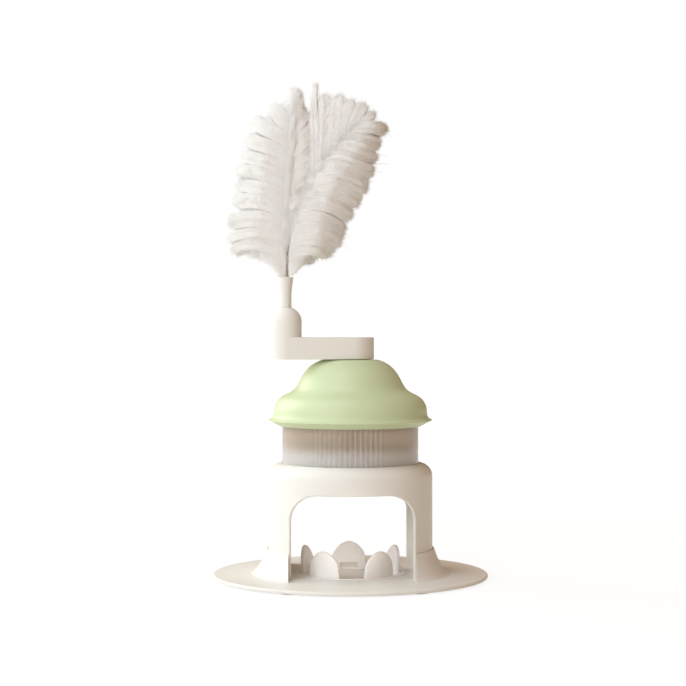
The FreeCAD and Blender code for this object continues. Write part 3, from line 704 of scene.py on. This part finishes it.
def downPieces(side, vane, rng):
    b, label = plumeSet["barb"], side.capitalize() + vane["name"]
    pads, padNormals, padQuads, down, downNormals = [], [], [], [], []
    for layer in plumeSet["layers"]:
        for path, half in zip(*barbPaths(side, vane, layer, rng)):
            pad, outward, facing = barbPad(path, half, rng)
            padQuads += padFaces(b["steps"], b["sides"], len(pads) * b["steps"] * b["sides"])
            pads.append(pad.reshape(-1, 3))
            padNormals.append(levelled(outward, facing).reshape(-1, 3))
            points, normals = fluffOn(pad, outward, facing, rng)
            down.append(points)
            downNormals.append(normals)
    first = np.arange(0, sum(len(points) for points in down), barbulePoints)
    blades = (np.stack([first, first + 1, first + 2, first + 3], axis=1).tolist()
              + np.stack([first + 3, first + 2, first + 4], axis=1).tolist())
    downMesh("barbs" + label, side, pads, padNormals, padQuads)
    downMesh("down" + label, side, down, downNormals, blades)
    print("plume", side, vane["name"], len(pads), "barbs", len(first), "barbules")


# thin loose strands, each a little arched
def makeWisps(wisps, s):
    points, faces = [], []
    t = np.linspace(0, 1, s["steps"])
    for start, end in wisps:
        path = np.stack([start[0] + (end[0] - start[0]) * t, s["depth"][0] + s["depth"][1] * t,
                         start[1] + (end[1] - start[1]) * t + s["arch"] * np.sin(math.pi * t)], axis=-1)
        tube, quads = tubeAlong(path, s["radius"] * (s["taper"] - t), s["sides"])
        faces += [tuple(k + len(tube) * len(points) for k in quad) for quad in quads]
        points.append(tube)
    piece = meshPiece("wispsRight", post + np.vstack(points) * mm, faces, materials["plumeDown"], "feather")
    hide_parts("plume_right")


makeWisps(plumeSet["wisps"], plumeSet["wisp"])
for side in ("left", "right"):
    rng = np.random.default_rng(plumeSet[side]["seed"])
    for vane in plumeSet[side]["vanes"]:
        downPieces(side, vane, rng)
print("stage: plumes")


# floor, sky and lamps

stageSet = {
    "floorSize": 900.0,
    "floorColour": (0.95, 0.93, 0.90, 1),
    "floorRough": 0.9,
    "floorGlow": 0.82,       # share of plain white that the camera sees in the floor near the toy
    "floorWhite": 1.07,
    "shadowReach": (0.3, 0.9),
    "fillColour": (1.0, 0.67, 0.41, 1),
    "fillStrength": 0.33,
    "lampSize": 0.9,
    "lampDistance": 1.5,
    "aim": (0.0, 0.0, 0.16),
    # turned from the front to the left and raised, in degrees, then watts and colour
    "lamps": {
        "behind": (121.0, 20.0, 11.6, (1.0, 0.985, 0.96)),
        "window": (38.0, 17.0, 8.4, (0.80, 0.90, 1.0)),
        "side": (90.0, 38.0, 4.2, (0.6, 0.95, 1.0)),
        "front": (10.0, 5.0, 0.6, (1.0, 0.86, 0.74)),
        "above": (38.0, 64.0, 8.5, (0.88, 0.94, 1.0)),
    },
    # a narrow light under the arch and over the front petals, on to the rear of the tray
    "beam": {"turned": -9.0, "raised": 18.0, "watts": 27.0, "colour": (1.0, 0.97, 0.93),
             "aim": (-0.009, 0.023, 0.010), "reach": 0.028, "softness": 0.006},
}


# rays that see the plain white background: the camera's own, those that the first face mirrors, and those
# that go on through the clear hopper; both limits stand halfway between two counts of bounces
def whiteRays(tree):
    path = addNode(tree, "ShaderNodeLightPath")
    first = maths(tree, "LESS_THAN", path.outputs["Ray Depth"], 1.5)
    direct = maths(tree, "LESS_THAN", path.outputs["Diffuse Depth"], 0.5)
    mirrored = maths(tree, "MULTIPLY", path.outputs["Is Glossy Ray"], first)
    through = maths(tree, "MULTIPLY", path.outputs["Is Transmission Ray"], direct)
    return maths(tree, "MAXIMUM", path.outputs["Is Camera Ray"], maths(tree, "MAXIMUM", mirrored, through))


def makeSky(s):
    world = bpy.data.worlds.new("studio")
    scene.world = world
    world.use_nodes = True
    tree = world.node_tree
    out = tree.nodes["World Output"]
    fill = tree.nodes["Background"]
    fill.inputs["Color"].default_value = s["fillColour"]
    fill.inputs["Strength"].default_value = s["fillStrength"]
    white = addNode(tree, "ShaderNodeBackground", {"Color": (1, 1, 1, 1), "Strength": 1.0})
    mix = addNode(tree, "ShaderNodeMixShader")
    join(tree, whiteRays(tree), mix.inputs["Fac"])
    join(tree, fill.outputs["Background"], mix.inputs[1])
    join(tree, white.outputs["Background"], mix.inputs[2])
    join(tree, mix.outputs["Shader"], out.inputs["Surface"])


def makeFloor(s):
    half = s["floorSize"] / 2
    mesh = bpy.data.meshes.new("floor")
    corners = [(-half, -half, 0), (half, -half, 0), (half, half, 0), (-half, half, 0)]
    mesh.from_pydata(corners, [], [(0, 1, 2, 3)])
    floor = bpy.data.objects.new("floor", mesh)
    scene.collection.objects.link(floor)
    material, tree, shader = startMaterial("paleFloor")
    shader.inputs["Base Color"].default_value = s["floorColour"]
    shader.inputs["Roughness"].default_value = s["floorRough"]
    shader.inputs["Specular IOR Level"].default_value = 0.0
    glow = addNode(tree, "ShaderNodeEmission", {"Color": (1, 1, 1, 1), "Strength": s["floorWhite"]})
    mix = addNode(tree, "ShaderNodeMixShader")
    place = addNode(tree, "ShaderNodeTexCoord").outputs["Object"]
    away = addNode(tree, "ShaderNodeVectorMath", operation="LENGTH")
    join(tree, place, away.inputs[0])
    share = mapped(tree, away.outputs["Value"], *s["shadowReach"], s["floorGlow"], 1.0)
    join(tree, maths(tree, "MULTIPLY", whiteRays(tree), share), mix.inputs["Fac"])
    join(tree, shader.outputs["BSDF"], mix.inputs[1])
    join(tree, glow.outputs["Emission"], mix.inputs[2])
    join(tree, mix.outputs["Shader"], tree.nodes["Material Output"].inputs["Surface"])
    mesh.materials.append(material)


def hangLamp(name, data, turned, raised, aim):
    lamp = bpy.data.objects.new(name, data)
    turned, raised = math.radians(turned), math.radians(raised)
    level = math.cos(raised)
    way = Vector((-math.sin(turned) * level, -math.cos(turned) * level, math.sin(raised)))
    lamp.location = Vector(aim) + way * stageSet["lampDistance"]
    lamp.rotation_euler = way.to_track_quat("Z", "Y").to_euler()
    lamp.visible_camera = False
    scene.collection.objects.link(lamp)


def makeLamp(name, turned, raised, watts, colour):
    data = bpy.data.lights.new(name, "AREA")
    data.shape, data.size, data.energy, data.color = "DISK", stageSet["lampSize"], watts, colour
    hangLamp(name, data, turned, raised, stageSet["aim"])


def makeBeam(s):
    data = bpy.data.lights.new("beam", "SPOT")
    data.energy, data.color, data.shadow_soft_size = s["watts"], s["colour"], s["softness"]
    data.spot_size, data.spot_blend = 2 * math.atan(s["reach"] / stageSet["lampDistance"]), 1.0
    hangLamp("beam", data, s["turned"], s["raised"], s["aim"])


makeSky(stageSet)
makeFloor(stageSet)
for name, (turned, raised, watts, colour) in stageSet["lamps"].items():
    makeLamp(name, turned, raised, watts, colour)
makeBeam(stageSet["beam"])
print("stage: floor and lamps")
